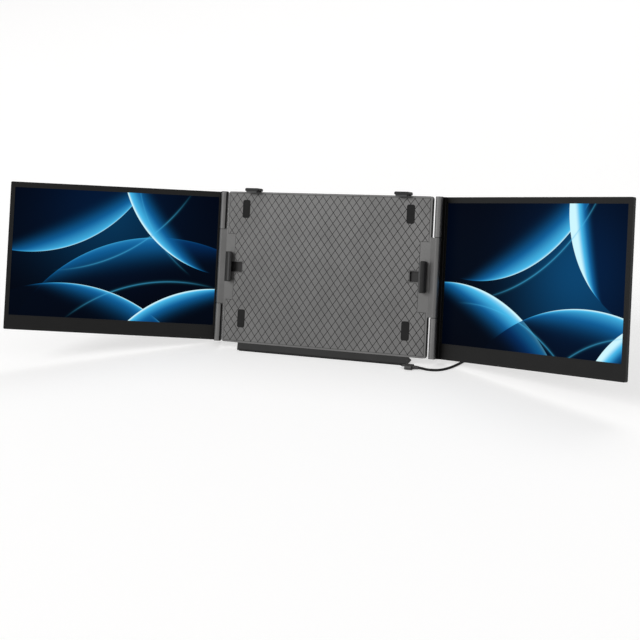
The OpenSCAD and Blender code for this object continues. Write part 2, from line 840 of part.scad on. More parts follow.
// The bar over the lid's edge has a round front, and its lip's core goes into the sleeve
module top_jaw() {
  r = 1.8;
  end_r = 2;
  core_y = sleeve_front + sleeve_t;
  core_w = top_pad_w - 1;
  translate([top_clip_x - top_clip_w / 2, 0, 0]) intersection() {
    rotate([90, 0, 90]) linear_extrude(top_clip_w) {
      translate([lip_front + r, top_grip_z]) square([top_bar_back - lip_front - r, top_bar_t]);
      translate([lip_front, top_grip_z]) square([r, top_bar_t - r]);
      translate([lip_front + r, top_grip_z + top_bar_t - r]) circle(r);
    }
    translate([0, lip_front - 1, top_grip_z]) rotate([90, 0, 0]) mirror([0, 0, 1])
      linear_extrude(top_bar_back - lip_front + 2) rounded(top_clip_w, top_bar_t, end_r);
  }
  block([top_clip_x - core_w / 2, core_y, top_lip_z + sleeve_t],
        [top_clip_x + core_w / 2, lip_back, top_grip_z + 1]);
}

module top_liner() {
  front = sleeve_front;
  core = [front + sleeve_t, top_lip_z + sleeve_t];
  lid_top = top_grip_z - 2 * liner_t;
  translate([top_clip_x - top_pad_w / 2, 0, 0]) rotate([90, 0, 90]) linear_extrude(top_pad_w) polygon([
    [front, top_grip_z], [core[0], top_grip_z], core, [lip_back, core[1]], [lip_back, top_grip_z],
    [-1, top_grip_z], [-1, lid_top], [lip_back + liner_t, lid_top], [lip_back + liner_t, top_lip_z],
    [front + sleeve_soft, top_lip_z], [front, top_lip_z + sleeve_soft]
  ]);
}

module left_clip_arm() {
  color(STEEL) stance() left_side() side_arm();
}

module left_clip_jaw() {
  color(DARK) stance() left_side() side_jaw();
}

module left_clip_liner() {
  color(RUBBER) stance() left_side() side_liner();
}

module right_clip_arm() {
  color(STEEL) stance() side_arm();
}

module right_clip_jaw() {
  color(DARK) stance() side_jaw();
}

module right_clip_liner() {
  color(RUBBER) stance() side_liner();
}

module top_left_clip_arm() {
  color(STEEL) stance() left_side() top_arm();
}

module top_left_clip_jaw() {
  color(DARK) stance() left_side() top_jaw();
}

module top_left_clip_liner() {
  color(RUBBER) stance() left_side() top_liner();
}

module top_right_clip_arm() {
  color(STEEL) stance() top_arm();
}

module top_right_clip_jaw() {
  color(DARK) stance() top_jaw();
}

module top_right_clip_liner() {
  color(RUBBER) stance() top_liner();
}

// ---------------------------------------------------------------- kickstand

// Drawn hanging straight down from its axis: a plate with two ribs, a finger slot near its
// foot, a barrel between the lugs and a rod that the rubber foot snaps on
module kickstand_leg() {
  rod_r = kick_foot_r - kick_foot_wall;
  rod_l = kick_w - 2 * kick_round;
  plate_low = -kick_l + kick_foot_r - 0.4;
  plate_high = -kick_barrel_r - 2;
  color(GUNMETAL) kickstand_place() difference() {
    union() {
      translate([-kick_barrel_l / 2, 0, 0]) rotate([0, 90, 0]) cylinder(r = kick_barrel_r, h = kick_barrel_l);
      block([-kick_barrel_l / 2, -kick_t / 2, plate_high - 4], [kick_barrel_l / 2, kick_t / 2, 0]);
      plate(-kick_w / 2, plate_low, kick_w, plate_high - plate_low, -kick_t / 2, kick_t, kick_round);
      translate([-rod_l / 2, 0, -kick_l]) rotate([0, 90, 0]) cylinder(r = rod_r, h = rod_l);
      block([-rod_l / 2, -kick_web_t / 2, -kick_l], [rod_l / 2, kick_web_t / 2, plate_low + 2]);
      for (side = [-1, 1]) {
        plate(side * kick_rib_x - kick_rib_w / 2, -kick_l + kick_rib_end, kick_rib_w,
              kick_l - 2 * kick_rib_end, -kick_t / 2 - 0.8, kick_t, kick_rib_w / 2 - 0.1);
      }
    }
    translate([-kick_w, 0, 0]) rotate([0, 90, 0]) cylinder(r = kick_pin_r + run_gap, h = 2 * kick_w);
    plate(-finger_w / 2, -kick_l + finger_h, finger_w, finger_h, -kick_t, 2 * kick_t, finger_h / 2 - 0.1);
  }
}

module kickstand_foot() {
  length = kick_w - 2 * kick_round - 4;
  slot_t = kick_web_t + 2 * seat_gap;
  color(RUBBER) kickstand_place() translate([-length / 2, 0, -kick_l]) rotate([0, 90, 0]) difference() {
    cylinder(r = kick_foot_r, h = length);
    translate([0, 0, -1]) cylinder(r = kick_foot_r - kick_foot_wall, h = length + 2);
    translate([-2 * kick_foot_r, -slot_t / 2, -1]) cube([2 * kick_foot_r, slot_t, length + 2]);
  }
}

// The lugs flare to a foot on the back panel
module kickstand_lugs() {
  seat_x = frame_t - kick_axis_y;
  step_x = seat_x + 1.4;
  color(DARK) stance() for (side = [-1, 1]) {
    translate([side * (kick_w - lug_t) / 2 - lug_t / 2, kick_axis_y, kick_axis_z]) difference() {
      rotate([90, 0, 90]) linear_extrude(lug_t) {
        circle(kick_barrel_r);
        polygon([
          [0, kick_barrel_r], [0, -kick_barrel_r], [step_x, -kick_barrel_r],
          [seat_x, -kick_barrel_r - lug_flare], [seat_x, kick_barrel_r + lug_flare], [step_x, kick_barrel_r]
        ]);
      }
      translate([-1, 0, 0]) rotate([0, 90, 0]) cylinder(r = kick_pin_r, h = lug_t + 2);
    }
  }
}

module kickstand_pins() {
  color(STEEL) stance() for (side = [-1, 1]) {
    translate([side * (kick_w - kick_pin_l) / 2 - kick_pin_l / 2, kick_axis_y, kick_axis_z])
      rotate([0, 90, 0]) cylinder(r = kick_pin_r, h = kick_pin_l);
  }
}

// ---------------------------------------------------------------- hub and cable

// An opening or body of USB-C shape along X, its long side upright
module stadium(x, l, w, t) {
  translate([x, port_y, hub_z]) rotate([90, 0, 90]) linear_extrude(l) {
    square([t, w - t], center = true);
    for (z = [-1, 1]) translate([0, z * (w - t) / 2]) circle(t / 2);
  }
}

module hub_cover() {
  wall = hub_wall;
  low = [hub_right - hub_w, frame_t, hub_z - hub_h / 2];
  color(DARK) stance() difference() {
    plate(low[0], low[2], hub_w, hub_h, frame_t, hub_t, 4);
    block(low + [wall, -1, wall], low + [hub_w - wall, hub_t - wall, hub_h - wall]);
    stadium(hub_right - wall - 1, wall + 2, port_w + 2 * seat_gap, port_t + 2 * seat_gap);
  }
}

module hub_board() {
  inset = hub_wall + 1;
  color(BOARD) stance()
    block([hub_right - hub_w + inset, frame_t + 0.2, hub_z - hub_h / 2 + inset],
          [hub_right - hub_wall - 0.4, port_y - port_t / 2 - 0.05, hub_z + hub_h / 2 - inset]);
}

module usb_port() {
  tongue_w = port_w - 2.6;
  color(STEEL) stance() {
    difference() {
      stadium(hub_right - port_l, port_l, port_w, port_t);
      stadium(hub_right - port_l + 0.6, port_l, port_w - 2 * port_wall, port_t - 2 * port_wall);
    }
    block([hub_right - port_l + 0.3, port_y - 0.3, hub_z - tongue_w / 2],
          [hub_right - 2.2, port_y + 0.3, hub_z + tongue_w / 2]);
  }
}

// A plug along +X, its moulding's near end at the origin and its tip towards -X
module plug() {
  rotate([90, 0, 90]) linear_extrude(plug_l) {
    square([plug_t, plug_w - plug_t], center = true);
    for (z = [-1, 1]) translate([0, z * (plug_w - plug_t) / 2]) circle(plug_t / 2);
  }
  translate([plug_l, 0, 0]) rotate([0, 90, 0])
    cylinder(r1 = plug_t / 2 - 0.5, r2 = cord_d / 2 + 0.2, h = relief_l);
  difference() {
    translate([-tip_l, 0, 0]) rotate([90, 0, 90]) linear_extrude(tip_l + 0.2) tip_outline(tip_w, tip_t);
    translate([-tip_l - 1, 0, 0]) rotate([90, 0, 90]) linear_extrude(tip_l) tip_outline(tip_w - 1, tip_t - 1);
  }
}

module tip_outline(w, t) {
  square([t, w - t], center = true);
  for (z = [-1, 1]) translate([0, z * (w - t) / 2]) circle(t / 2);
}

module hub_plug() {
  color(BLACK) stance() translate([hub_right + 0.3, port_y, hub_z]) plug();
}

module cable_plug() {
  end = desk_route[len(desk_route) - 1];
  color(BLACK) translate([end[0] - plug_l - relief_l, end[1], plug_t / 2]) rotate([90, 0, 0]) plug();
}

module tube(route, steps) {
  points = smooth_route(route, steps);
  count = len(points);
  rings = [
    for (i = [0:count - 1])
      let (
        along = points[min(i + 1, count - 1)] - points[max(i - 1, 0)],
        across = cross(along, [0, 0, 1]) / norm(cross(along, [0, 0, 1])),
        up = cross(across, along) / norm(along)
      )
      for (k = [0:cord_sides - 1])
        let (a = (k + 0.5) * 360 / cord_sides)
        points[i] + cord_d / 2 * (cos(a) * across + sin(a) * up)
  ];
  sides = [
    for (i = [0:count - 2]) for (k = [0:cord_sides - 1])
      let (a = i * cord_sides + k, b = i * cord_sides + (k + 1) % cord_sides)
      [a, a + cord_sides, b + cord_sides, b]
  ];
  near_end = [for (k = [0:cord_sides - 1]) k];
  far_end = [for (k = [cord_sides - 1:-1:0]) (count - 1) * cord_sides + k];
  polyhedron(rings, concat([near_end], sides, [far_end]));
}

module cable_hub_run() {
  color(BLACK) tube(hub_route, 2);
}

module cable_desk_run() {
  color(BLACK) tube(desk_route, 2);
}

module cable_coil() {
  color(BLACK) translate([coil_centre[0], coil_centre[1], 0]) rotate_extrude($fn = 64)
    translate([coil_r - coil_half - cord_d / 2, 0]) rounded(2 * coil_half + cord_d, 2 * cord_d, 1.6);
}

front_panel();
back_panel();
lid_pads();
base_foot();
foot_sole();
left_hinge_block();
right_hinge_block();
left_hinge_pin();
right_hinge_pin();
hinge_washers();
hub_cover();
hub_board();
usb_port();
kickstand_lugs();
kickstand_pins();
kickstand_leg();
kickstand_foot();
left_clip_arm();
left_clip_jaw();
left_clip_liner();
right_clip_arm();
right_clip_jaw();
right_clip_liner();
top_left_clip_arm();
top_left_clip_jaw();
top_left_clip_liner();
top_right_clip_arm();
top_right_clip_jaw();
top_right_clip_liner();
left_rear_shell();
left_bezel();
left_display();
left_backlight();
left_driver_board();
left_hinge_rail();
left_hinge_barrels();
left_power_key();
left_up_key();
left_down_key();
right_rear_shell();
right_bezel();
right_display();
right_backlight();
right_driver_board();
right_hinge_rail();
right_hinge_barrels();
right_power_key();
right_up_key();
right_down_key();
hub_plug();
cable_hub_run();
cable_coil();
cable_desk_run();
cable_plug();
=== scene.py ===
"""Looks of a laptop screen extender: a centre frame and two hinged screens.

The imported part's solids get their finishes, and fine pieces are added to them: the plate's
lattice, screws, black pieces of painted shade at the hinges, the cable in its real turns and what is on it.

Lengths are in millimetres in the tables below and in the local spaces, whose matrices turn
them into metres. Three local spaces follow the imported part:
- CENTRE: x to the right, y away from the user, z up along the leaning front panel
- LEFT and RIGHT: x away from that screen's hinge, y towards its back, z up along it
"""

import json
import math

import bmesh
import bpy
from mathutils import Matrix, Vector


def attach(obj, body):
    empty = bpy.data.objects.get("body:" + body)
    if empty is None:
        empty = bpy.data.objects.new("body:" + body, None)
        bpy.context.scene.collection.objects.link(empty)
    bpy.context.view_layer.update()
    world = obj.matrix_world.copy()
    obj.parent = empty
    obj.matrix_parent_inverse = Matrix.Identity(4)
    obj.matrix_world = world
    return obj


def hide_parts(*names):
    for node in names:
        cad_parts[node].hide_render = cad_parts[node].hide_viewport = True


MM = 0.001

# ---------------------------------------------------------------- camera

IMAGE_PX = 640
PRINCIPAL_X_PX = 320
PRINCIPAL_Y_PX = 229.8
FOCAL_PX = 1395
CAMERA_AT = Vector((942.6, -1557.6, 729.4)) * MM
CAMERA_YAW = 30.535
CAMERA_PITCH = 16.698
CAMERA_ROLL = 7.373

# ---------------------------------------------------------------- sizes of the part

FRAME_W = 325
FRAME_H = 217.8
FRAME_T = 9
PAD_T = 0.5
SCREEN_W = 312.1
SCREEN_T = 6.5
LIT_W = 301.6
LIT_H = 188.5
BEZEL_INNER = 4
BEZEL_BOTTOM = 21.3
EDGE_OUT = {"left": 5.4, "right": 0.3}
FACE_BACK = {"left": 19.3, "right": 12}
LEAF_X = 148
LEAF_Z = (62.07, 155.73)
SLOT_INNER_X = 133.6
SLOT_HALF_Z = 7.3
HUB_X = (74, 118)
HUB_Z = 70
HUB_T = 8

# ---------------------------------------------------------------- cable

CORD_D = 3.4
# The cord's middle line in millimetres of the shared frame, up to the coil and on from it
HUB_EXIT = (137.3, 32.1, 72.72)
HUB_ROUTE = [
    HUB_EXIT, (148, 32.7, 72.4), (154.5, 34.8, 70.6), (160.5, 38.6, 67), (166, 42.8, 61.4),
    (171.5, 46.7, 54.4), (177, 50.5, 46.4), (182.5, 54.4, 38), (188, 58.6, 29.6),
    (193.5, 63.2, 21.6), (199, 68.6, 14.6), (205, 74.8, 8.9), (211.5, 80.8, 4.8), (219, 86, 2.4),
    (228, 88.7, 1.7),
]
DESK_ROUTE = [
    (228, 43.2, 5.1), (221, 41.5, 4.4), (215.2, 37.8, 3.3), (211.2, 31.8, 2.4),
    (208.6, 24.2, 1.9), (206.3, 16, 1.7), (203.6, 8, 1.7), (200.2, 0.6, 1.7), (196, -6.2, 1.7),
    (190.6, -11.8, 1.7), (184, -15.2, 1.7), (176.6, -16.4, 1.7), (169.4, -16.4, 1.8),
    (163, -16.1, 2.5), (157.5, -16, 3.1),
]
ROUTE_STEPS = 3
COIL_CENTRE = (228, 66)
COIL_R_OUT = 22.725
COIL_R_IN = 15.075
COIL_TURNS = 4.5
COIL_STEPS = 24
COIL_START_DEG = 90
# The coil climbs to its upper layer from one share of its length on, over another share of it
CLIMB_FROM = 0.44
CLIMB_SHARE = 0.12

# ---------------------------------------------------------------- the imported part

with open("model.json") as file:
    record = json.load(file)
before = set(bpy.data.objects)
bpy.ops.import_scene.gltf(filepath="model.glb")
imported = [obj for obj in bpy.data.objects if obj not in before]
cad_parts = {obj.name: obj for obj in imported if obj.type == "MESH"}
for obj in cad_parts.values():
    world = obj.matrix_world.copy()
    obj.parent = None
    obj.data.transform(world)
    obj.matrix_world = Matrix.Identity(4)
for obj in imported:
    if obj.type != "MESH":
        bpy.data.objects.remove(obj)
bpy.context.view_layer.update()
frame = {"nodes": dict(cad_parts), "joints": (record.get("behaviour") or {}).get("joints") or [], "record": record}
RECORD = frame["record"]
JOINTS = {joint["name"]: joint for joint in frame["joints"]}
MOUNTS = {mount["name"]: mount for mount in RECORD["mounts"]}


# ---------------------------------------------------------------- local spaces

def space(origin, x, y, z):
    """Matrix from local millimetres to metres in the shared frame."""
    columns = Matrix((x, y, z)).transposed().to_4x4()
    return Matrix.Translation(origin) @ columns @ Matrix.Scale(MM, 4)


UP = Vector(JOINTS["left_screen_fold"]["axis"]).normalized()
BACK = UP.cross(Vector((1, 0, 0)))
FRAME_FACE = Vector(MOUNTS["lid_rest"]["pos_m"]) + BACK * PAD_T * MM
CENTRE = space(FRAME_FACE - UP * FRAME_H / 2 * MM, Vector((1, 0, 0)), BACK, UP)


def screen_space(side):
    """A screen's space at rest, turned from flat by as much as its joint's lower limit."""
    joint = JOINTS[side + "_screen_fold"]
    opened = math.radians(-joint["range_deg"][0])
    sign = 1 if side == "right" else -1
    out = Vector((sign * math.cos(opened), 0, 0)) - BACK * math.sin(opened)
    back = Vector((sign * math.sin(opened), 0, 0)) + BACK * math.cos(opened)
    return space(Vector(joint["pos_m"]) - UP * FRAME_H / 2 * MM, out, back, UP)


SCREENS = {side: screen_space(side) for side in ("left", "right")}


# ---------------------------------------------------------------- materials

class Nodes:
    """Short calls to build one material's nodes."""

    def __init__(self, name):
        self.material = bpy.data.materials.new(name)
        self.material.use_nodes = True
        self.tree = self.material.node_tree
        self.tree.nodes.clear()
        self.shader = self.add("ShaderNodeBsdfPrincipled")
        output = self.add("ShaderNodeOutputMaterial")
        self.tree.links.new(self.shader.outputs[0], output.inputs["Surface"])
        self.place = self.add("ShaderNodeTexCoord").outputs["Object"]

    def add(self, kind, **settings):
        node = self.tree.nodes.new(kind)
        for key, value in settings.items():
            setattr(node, key, value)
        return node

    def feed(self, node, key, value):
        """Links a socket to an input, or sets the input to a plain value."""
        if isinstance(value, bpy.types.NodeSocket):
            self.tree.links.new(value, node.inputs[key])
        else:
            node.inputs[key].default_value = value

    def set(self, **values):
        """Feeds the shader's own inputs, with _ for the spaces in their names."""
        for key, value in values.items():
            self.feed(self.shader, key.replace("_", " "), value)

    def math(self, operation, *values, clamp=False):
        node = self.add("ShaderNodeMath", operation=operation, use_clamp=clamp)
        for index, value in enumerate(values):
            self.feed(node, index, value)
        return node.outputs[0]

    def stretched(self, scale):
        node = self.add("ShaderNodeMapping")
        self.feed(node, "Vector", self.place)
        self.feed(node, "Scale", scale)
        return node.outputs[0]

    def noise(self, scale, detail=3, vector=None, roughness=0.55):
        node = self.add("ShaderNodeTexNoise")
        self.feed(node, "Vector", vector or self.place)
        self.feed(node, "Scale", scale)
        self.feed(node, "Detail", detail)
        self.feed(node, "Roughness", roughness)
        return node.outputs["Fac"]

    def ramp(self, value, low, high):
        """Maps low..high to 0..1, smoothly."""
        node = self.add("ShaderNodeMapRange", interpolation_type="SMOOTHSTEP")
        self.feed(node, "Value", value)
        self.feed(node, "From Min", low)
        self.feed(node, "From Max", high)
        return node.outputs["Result"]

    def between(self, value, low, high):
        """Maps 0..1 to low..high."""
        node = self.add("ShaderNodeMapRange")
        self.feed(node, "Value", value)
        self.feed(node, "To Min", low)
        self.feed(node, "To Max", high)
        return node.outputs["Result"]

    def mix(self, share, first, second, blend="MIX"):
        node = self.add("ShaderNodeMix", data_type="RGBA", blend_type=blend)
        self.feed(node, 0, share)
        self.feed(node, 6, first)
        self.feed(node, 7, second)
        return node.outputs[2]

    def bump(self, height, distance):
        node = self.add("ShaderNodeBump")
        self.feed(node, "Height", height)
        self.feed(node, "Distance", distance)
        self.feed(node, "Strength", 1.0)
        self.set(Normal=node.outputs[0])


def grey(level, warm=0.0):
    """An opaque grey, a little towards red and away from blue by the share warm."""
    return (level * (1 + warm), level, level * (1 - warm), 1)


def anodised(name, level, metallic, roughness):
    """Bead-blasted, anodised aluminium: a fine frost with faint clouding."""
    n = Nodes(name)
    frost = n.noise(scale=9000, detail=2)
    cloud = n.noise(scale=24, detail=4)
    both = n.math("ADD", n.math("MULTIPLY", frost, 0.5), n.math("MULTIPLY", cloud, 0.5))
    dark, pale = (grey(level * share, warm=0.012) for share in (0.93, 1.06))
    n.set(
        Base_Color=n.mix(n.ramp(cloud, low=0.3, high=0.7), dark, pale),
        Metallic=metallic,
        Roughness=n.between(both, roughness - 0.07, roughness + 0.07),
    )
    n.bump(frost, distance=0.00004)
    return n.material


def moulded(name, level, roughness, grain=3200, depth=0.00005, gloss=0.4):
    """Moulded plastic with a spark-eroded grain and slight wear in its gloss."""
    n = Nodes(name)
    spark = n.noise(grain, detail=4, roughness=0.7)
    wear = n.noise(scale=30, detail=5)
    dark, pale = (grey(level * share, warm=0.015) for share in (0.88, 1.12))
    n.set(
        Base_Color=n.mix(n.ramp(spark, low=0.35, high=0.7), dark, pale),
        Roughness=n.between(wear, roughness - 0.08, roughness + 0.1),
        Specular_IOR_Level=gloss,
    )
    n.bump(spark, depth)
    return n.material


def rubber(name, level):
    """Dull rubber or silicone with a fine, uneven skin."""
    n = Nodes(name)
    skin = n.noise(scale=2600, detail=5, roughness=0.8)
    n.set(
        Base_Color=n.mix(skin, grey(level * 0.8), grey(level * 1.3)),
        Roughness=n.between(n.noise(scale=60), low=0.78, high=0.92),
        Specular_IOR_Level=0.25,
    )
    n.bump(skin, distance=0.00008)
    return n.material


def brushed(name, level, stretch=(40, 3000, 3000)):
    """Steel brushed along X, or evenly blasted where the stretch is the same along all axes."""
    n = Nodes(name)
    lines = n.noise(scale=1, detail=5, vector=n.stretched(stretch), roughness=0.7)
    n.set(
        Base_Color=n.mix(lines, grey(level * 0.85), grey(level * 1.1)),
        Metallic=1.0,
        Roughness=n.between(lines, low=0.24, high=0.42),
    )
    n.bump(lines, distance=0.00003)
    return n.material


def board(name):
    """Green solder mask with pale copper tracks."""
    n = Nodes(name)
    grid = n.add("ShaderNodeTexBrick")
    n.feed(grid, "Vector", n.place)
    n.feed(grid, "Scale", 160)
    n.feed(grid, "Mortar Size", 0.08)
    n.set(
        Base_Color=n.mix(grid.outputs["Fac"], (0.012, 0.09, 0.035, 1), (0.05, 0.22, 0.08, 1)),
        Roughness=n.between(n.noise(scale=200), low=0.3, high=0.45),
    )
    return n.material


def woven(name, level):
    """Nylon tape: fine crossed threads."""
    n = Nodes(name)
    warp = n.add("ShaderNodeTexWave", bands_direction="X")
    weft = n.add("ShaderNodeTexWave", bands_direction="Z")
    for wave in (warp, weft):
        n.feed(wave, "Vector", n.place)
        n.feed(wave, "Scale", 1400)
    threads = n.math("MULTIPLY", warp.outputs["Fac"], weft.outputs["Fac"])
    n.set(
        Base_Color=n.mix(threads, grey(level * 0.6), grey(level * 1.5)),
        Roughness=n.between(n.noise(scale=300), low=0.7, high=0.9),
    )
    n.bump(threads, distance=0.0001)
    return n.material


def light_guide(name):
    """Milky acrylic with the printed dots that spread the light."""
    n = Nodes(name)
    dots = n.add("ShaderNodeTexVoronoi")
    n.feed(dots, "Vector", n.place)
    n.feed(dots, "Scale", 900)
    off_dot = n.ramp(dots.outputs["Distance"], low=0.15, high=0.3)
    n.set(
        Base_Color=n.mix(off_dot, (0.9, 0.9, 0.9, 1), (0.72, 0.74, 0.78, 1)),
        Roughness=0.3,
    )
    return n.material


# ---------------------------------------------------------------- the displays' picture

# Places and lengths are shares of the lit height, from its lower left corner. Each disc has
# its centre, its radius, the heading in degrees of its lit part, how far the glow reaches in,
# and how bright the glow and the thin edge are. The discs are laid over each other in this
# order.
DISCS = {
    "left": [
        ((1.18, -0.62), 1.28, 100, 0.26, 0.50, 0.25),
        ((0.10, 1.55), 1.05, -62, 0.28, 0.78, 0.45),
        ((1.75, 1.30), 0.92, 215, 0.20, 1.00, 1.0),
        ((0.42, -0.95), 1.22, 62, 0.13, 0.62, 0.9),
        ((1.62, -0.70), 0.98, 118, 0.11, 1.0, 1.0),
    ],
    "right": [
        ((0.30, 1.62), 1.16, -55, 0.26, 0.90, 0.5),
        ((1.90, 0.98), 0.78, 190, 0.36, 1.75, 0.9),
        ((0.05, -0.78), 1.22, 58, 0.21, 1.15, 0.9),
        ((1.28, -1.02), 1.34, 75, 0.15, 0.85, 0.9),
        ((1.98, -0.42), 0.72, 132, 0.20, 1.60, 0.9),
    ],
}
# Thin rings over the discs: centre, radius, heading of the bright part and its brightness.
RINGS = {
    "left": [
        ((0.22, 1.72), 1.36, -58, 0.55),
        ((1.30, -0.98), 1.30, 104, 0.50),
        ((1.98, 1.22), 1.02, 208, 0.35),
    ],
    "right": [
        ((0.10, 1.78), 1.46, -52, 0.60),
        ((0.22, -0.98), 1.28, 66, 0.60),
        ((1.72, -0.86), 1.02, 112, 0.45),
    ],
}
# A soft haze behind the discs: its middle, its share of blue there, and how far it reaches
HAZE_AT = {"left": (0.72, 0.86), "right": (1.22, 0.55)}
HAZE = {"left": 0.24, "right": 0.42}
HAZE_REACH = 0.4714
NIGHT = (0.0002, 0.0008, 0.0035, 1)
DUSK = (0.0004, 0.0040, 0.0125, 1)
AZURE = (0.0050, 0.13, 0.36, 1)
SKY = (0.065, 0.50, 0.84, 1)
ICE = (0.62, 0.93, 1.0, 1)
VEIL = (0.12, 0.36, 0.55, 1)
UNLIT = (0.0008, 0.0008, 0.001, 1)
# The light at which each colour starts to show, and at which it is full
AZURE_LIGHT = (0, 0.55)
SKY_LIGHT = (0.35, 0.95)
ICE_LIGHT = (0.8, 1.35)
# Lengths: where the dusk is full, a disc's soft border, its lit edge, a ring's half width, and
# the depth at which a disc is darkest
DUSK_TOP = 1.1
EDGE_SOFT = 0.0015
EDGE_REACH = 0.006
RING_REACH = 0.004
DARK_DEPTH = 0.9
# The light starts where the cosine to its heading is this. The lower the power, the more
# evenly the edge is lit. The cover is the share of a disc that hides what is below it.
DISC_LIT_FROM = 0.72
RING_LIT_FROM = 0.88
EDGE_POWER = 0.6
DISC_COVER = 0.45


def lit_colour(n, light, dark):
    """The dark colour taken through deep blue and sky blue to near white by a growing light."""
    colour = dark
    for (low, high), next_colour in ((AZURE_LIGHT, AZURE), (SKY_LIGHT, SKY), (ICE_LIGHT, ICE)):
        colour = n.mix(n.ramp(light, low, high), colour, next_colour)
    return colour


def decay(n, distance, reach):
    """Falls from 1 at no distance by a factor of e for each reach."""
    return n.math("EXPONENT", n.math("DIVIDE", distance, -reach))


def disc(n, uv, centre, radius, heading):
    """Depth inside a disc's rim, and how far a point lies towards the heading."""
    away = n.add("ShaderNodeVectorMath", operation="SUBTRACT")
    n.feed(away, 0, uv)
    n.feed(away, 1, (*centre, 0))
    length = n.add("ShaderNodeVectorMath", operation="LENGTH")
    n.feed(length, 0, away.outputs[0])
    depth = n.math("SUBTRACT", radius, length.outputs["Value"])
    facing = n.add("ShaderNodeVectorMath", operation="DOT_PRODUCT")
    n.feed(facing, 0, away.outputs[0])
    turn = math.radians(heading)
    n.feed(facing, 1, (math.cos(turn) / radius, math.sin(turn) / radius, 0))
    return depth, facing.outputs["Value"]


def ring_layer(n, uv, below, ring):
    """Adds a thin lit line that fades away from its bright part."""
    centre, radius, heading, bright = ring
    depth, facing = disc(n, uv, centre, radius, heading)
    line = decay(n, n.math("ABSOLUTE", depth), RING_REACH)
    lit = n.ramp(facing, RING_LIT_FROM, 1.0)
    light = n.math("MULTIPLY", n.math("MULTIPLY", line, lit), bright, clamp=True)
    return n.mix(light, below, SKY)


def disc_layer(n, uv, below, values):
    """Lays one disc over the picture below it and returns the new colour."""
    centre, radius, heading, reach, glow, edge = values
    depth, facing = disc(n, uv, centre, radius, heading)
    lit = n.ramp(facing, DISC_LIT_FROM, 1.0)
    inside = n.ramp(depth, -EDGE_SOFT, EDGE_SOFT)
    sheen = n.math("MULTIPLY", n.math("MULTIPLY", decay(n, depth, reach), lit), glow)
    even = n.math("POWER", lit, EDGE_POWER)
    line = n.math("MULTIPLY", n.math("MULTIPLY", decay(n, depth, EDGE_REACH), even), edge)
    body = n.mix(n.ramp(depth, 0, DARK_DEPTH), DUSK, NIGHT)
    shaded = n.mix(DISC_COVER, n.mix(1.0, below, VEIL, "MULTIPLY"), body)
    return n.mix(inside, below, lit_colour(n, n.math("ADD", sheen, line), shaded))


def wallpaper(side):
    """A lit display with a plain abstract picture of overlapping discs and thin rings."""
    n = Nodes(side + "_wallpaper")
    screen = SCREENS[side]
    right = screen.col[0].xyz.normalized() * (1 if side == "right" else -1)
    corner_x = EDGE_OUT[side] + BEZEL_INNER + (0 if side == "right" else LIT_W)
    turned = Matrix((right, screen.col[1].xyz.normalized(), UP)).transposed()
    place = n.add("ShaderNodeMapping", vector_type="TEXTURE")
    n.feed(place, "Vector", n.place)
    n.feed(place, "Location", screen @ Vector((corner_x, FACE_BACK[side], BEZEL_BOTTOM)))
    n.feed(place, "Rotation", turned.to_euler())
    n.feed(place, "Scale", (LIT_H * MM,) * 3)
    parts = n.add("ShaderNodeSeparateXYZ")
    n.feed(parts, 0, place.outputs[0])
    uv = n.add("ShaderNodeCombineXYZ")
    n.feed(uv, "X", parts.outputs["X"])
    n.feed(uv, "Y", parts.outputs["Z"])
    from_haze = n.add("ShaderNodeVectorMath", operation="DISTANCE")
    n.feed(from_haze, 0, uv.outputs[0])
    n.feed(from_haze, 1, (*HAZE_AT[side], 0))
    reaches = n.math("DIVIDE", from_haze.outputs["Value"], HAZE_REACH)
    haze = decay(n, n.math("POWER", reaches, 2.0), 1.0)
    sky = n.mix(n.ramp(parts.outputs["Z"], 0, DUSK_TOP), NIGHT, DUSK)
    picture = n.mix(n.math("MULTIPLY", haze, HAZE[side]), sky, AZURE)
    for values in DISCS[side]:
        picture = disc_layer(n, uv.outputs[0], picture, values)
    for ring in RINGS[side]:
        picture = ring_layer(n, uv.outputs[0], picture, ring)
    n.set(
        Base_Color=UNLIT,
        Roughness=0.35,
        Specular_IOR_Level=0.01,
        Emission_Color=picture,
        Emission_Strength=1.0,
    )
    return n.material


# ---------------------------------------------------------------- finishes

# By the record's slots. The display's glass is None: it has a picture for each side.
FINISHES = {
    "frame_metal": anodised("gunmetal", level=0.125, metallic=0.75, roughness=0.40),
    "back_metal": moulded("black_lacquer", level=0.006, roughness=0.55,
                          grain=2600, depth=0.00003, gloss=0.15),
    "steel": brushed("brushed_steel", level=0.55),
    "blackened_steel": anodised("blackened_steel", level=0.02, metallic=0.6, roughness=0.4),
    "dark_plastic": moulded("shell_plastic", level=0.012, roughness=0.50, gloss=0.25),
    "bezel_plastic": moulded("bezel_plastic", level=0.006, roughness=0.55,
                             grain=4200, depth=0.00003, gloss=0.18),
    "rubber": rubber("black_rubber", level=0.012),
    "clip_silicone": rubber("clip_silicone", level=0.085),
    "display_glass": None,
    "light_guide": light_guide("light_guide"),
    "circuit_board": board("circuit_board"),
    "cable": rubber("cable_jacket", level=0.010),
}
RAIL = moulded("rail_plastic", level=0.003, roughness=0.6, gloss=0.1)
BLACK_STEEL = brushed("black_steel", level=0.03, stretch=(900, 900, 900))
BARREL = anodised("barrel_metal", level=0.155, metallic=0.75, roughness=0.40)
PLUG = moulded("plug_plastic", level=0.045, roughness=0.45)
WOVEN = woven("woven_tape", level=0.02)
# The part's own nodes that differ from their slot's finish
NODE_FINISHES = {
    "hub_plug": PLUG,
    "cable_plug": PLUG,
    "left_hinge_rail": RAIL,
    "right_hinge_rail": RAIL,
    "hinge_washers": BLACK_STEEL,
    "left_hinge_barrels": BARREL,
    "right_hinge_barrels": BARREL,
}
GROUND = moulded("lattice_ground", level=0.008, roughness=0.7, gloss=0.2)
TILE = anodised("lattice_tile", level=0.128, metallic=0.75, roughness=0.42)


